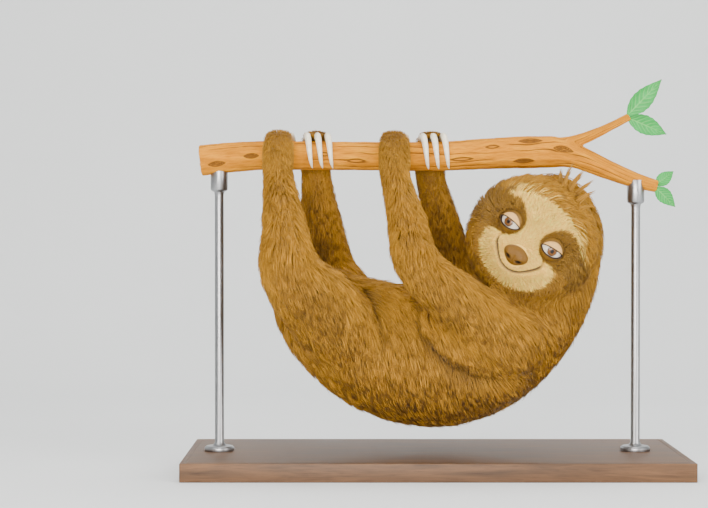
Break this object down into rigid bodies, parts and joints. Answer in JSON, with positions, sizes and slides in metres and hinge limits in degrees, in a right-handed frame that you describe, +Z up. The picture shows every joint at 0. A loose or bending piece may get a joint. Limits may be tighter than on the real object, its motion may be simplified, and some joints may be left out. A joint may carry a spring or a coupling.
{
  "type": "three-toed sloth model on a branch stand",
  "caption": "Life-size still model of a brown three-toed sloth hanging belly up under a cut branch, smiling face turned to the side, held on a flat display stand.",
  "frame": {"origin": "on the floor under the middle of the stand's base", "axes": "+X along the branch from the sloth's rump to its head, +Z up, and the face looks towards -Y, so that the sloth's own left limbs are towards -Y"},
  "size_m": [0.6, 0.26, 0.4755],
  "materials": {
    "coat": "long shaggy fur, matt",
    "nose_skin": "smooth bare skin, slightly moist",
    "eye": "glossy and wet",
    "claw_horn": "ivory horn, satin",
    "bark": "peeled branch with long grain, satin",
    "leaf": "green leaf, satin",
    "stand_board": "dark stained, satin",
    "stand_steel": "dark brushed rod"
  },
  "bodies": {
    "root": {"eye_left": "eye", "eye_right": "eye", "foot_left": "coat", "foot_left_claw_1": "claw_horn", "foot_left_claw_2": "claw_horn", "foot_left_claw_3": "claw_horn", "foot_right": "coat", "foot_right_claw_1": "claw_horn", "foot_right_claw_2": "claw_horn", "foot_right_claw_3": "claw_horn", "forearm_left": "coat", "forearm_right": "coat", "hand_left": "coat", "hand_left_claw_1": "claw_horn", "hand_left_claw_2": "claw_horn", "hand_left_claw_3": "claw_horn", "hand_right": "coat", "hand_right_claw_1": "claw_horn", "hand_right_claw_2": "claw_horn", "hand_right_claw_3": "claw_horn", "head": "coat", "neck": "coat", "nose": "nose_skin", "perch_branch": "bark", "perch_leaf_1": "leaf", "perch_leaf_2": "leaf", "perch_leaf_3": "leaf", "perch_leaf_4": "leaf", "shank_left": "coat", "shank_right": "coat", "stand_base": "stand_board", "stand_rod_left": "stand_steel", "stand_rod_right": "stand_steel", "tail": "coat", "thigh_left": "coat", "thigh_right": "coat", "trunk": "coat", "upper_arm_left": "coat", "upper_arm_right": "coat"}
  },
  "joints": []
}
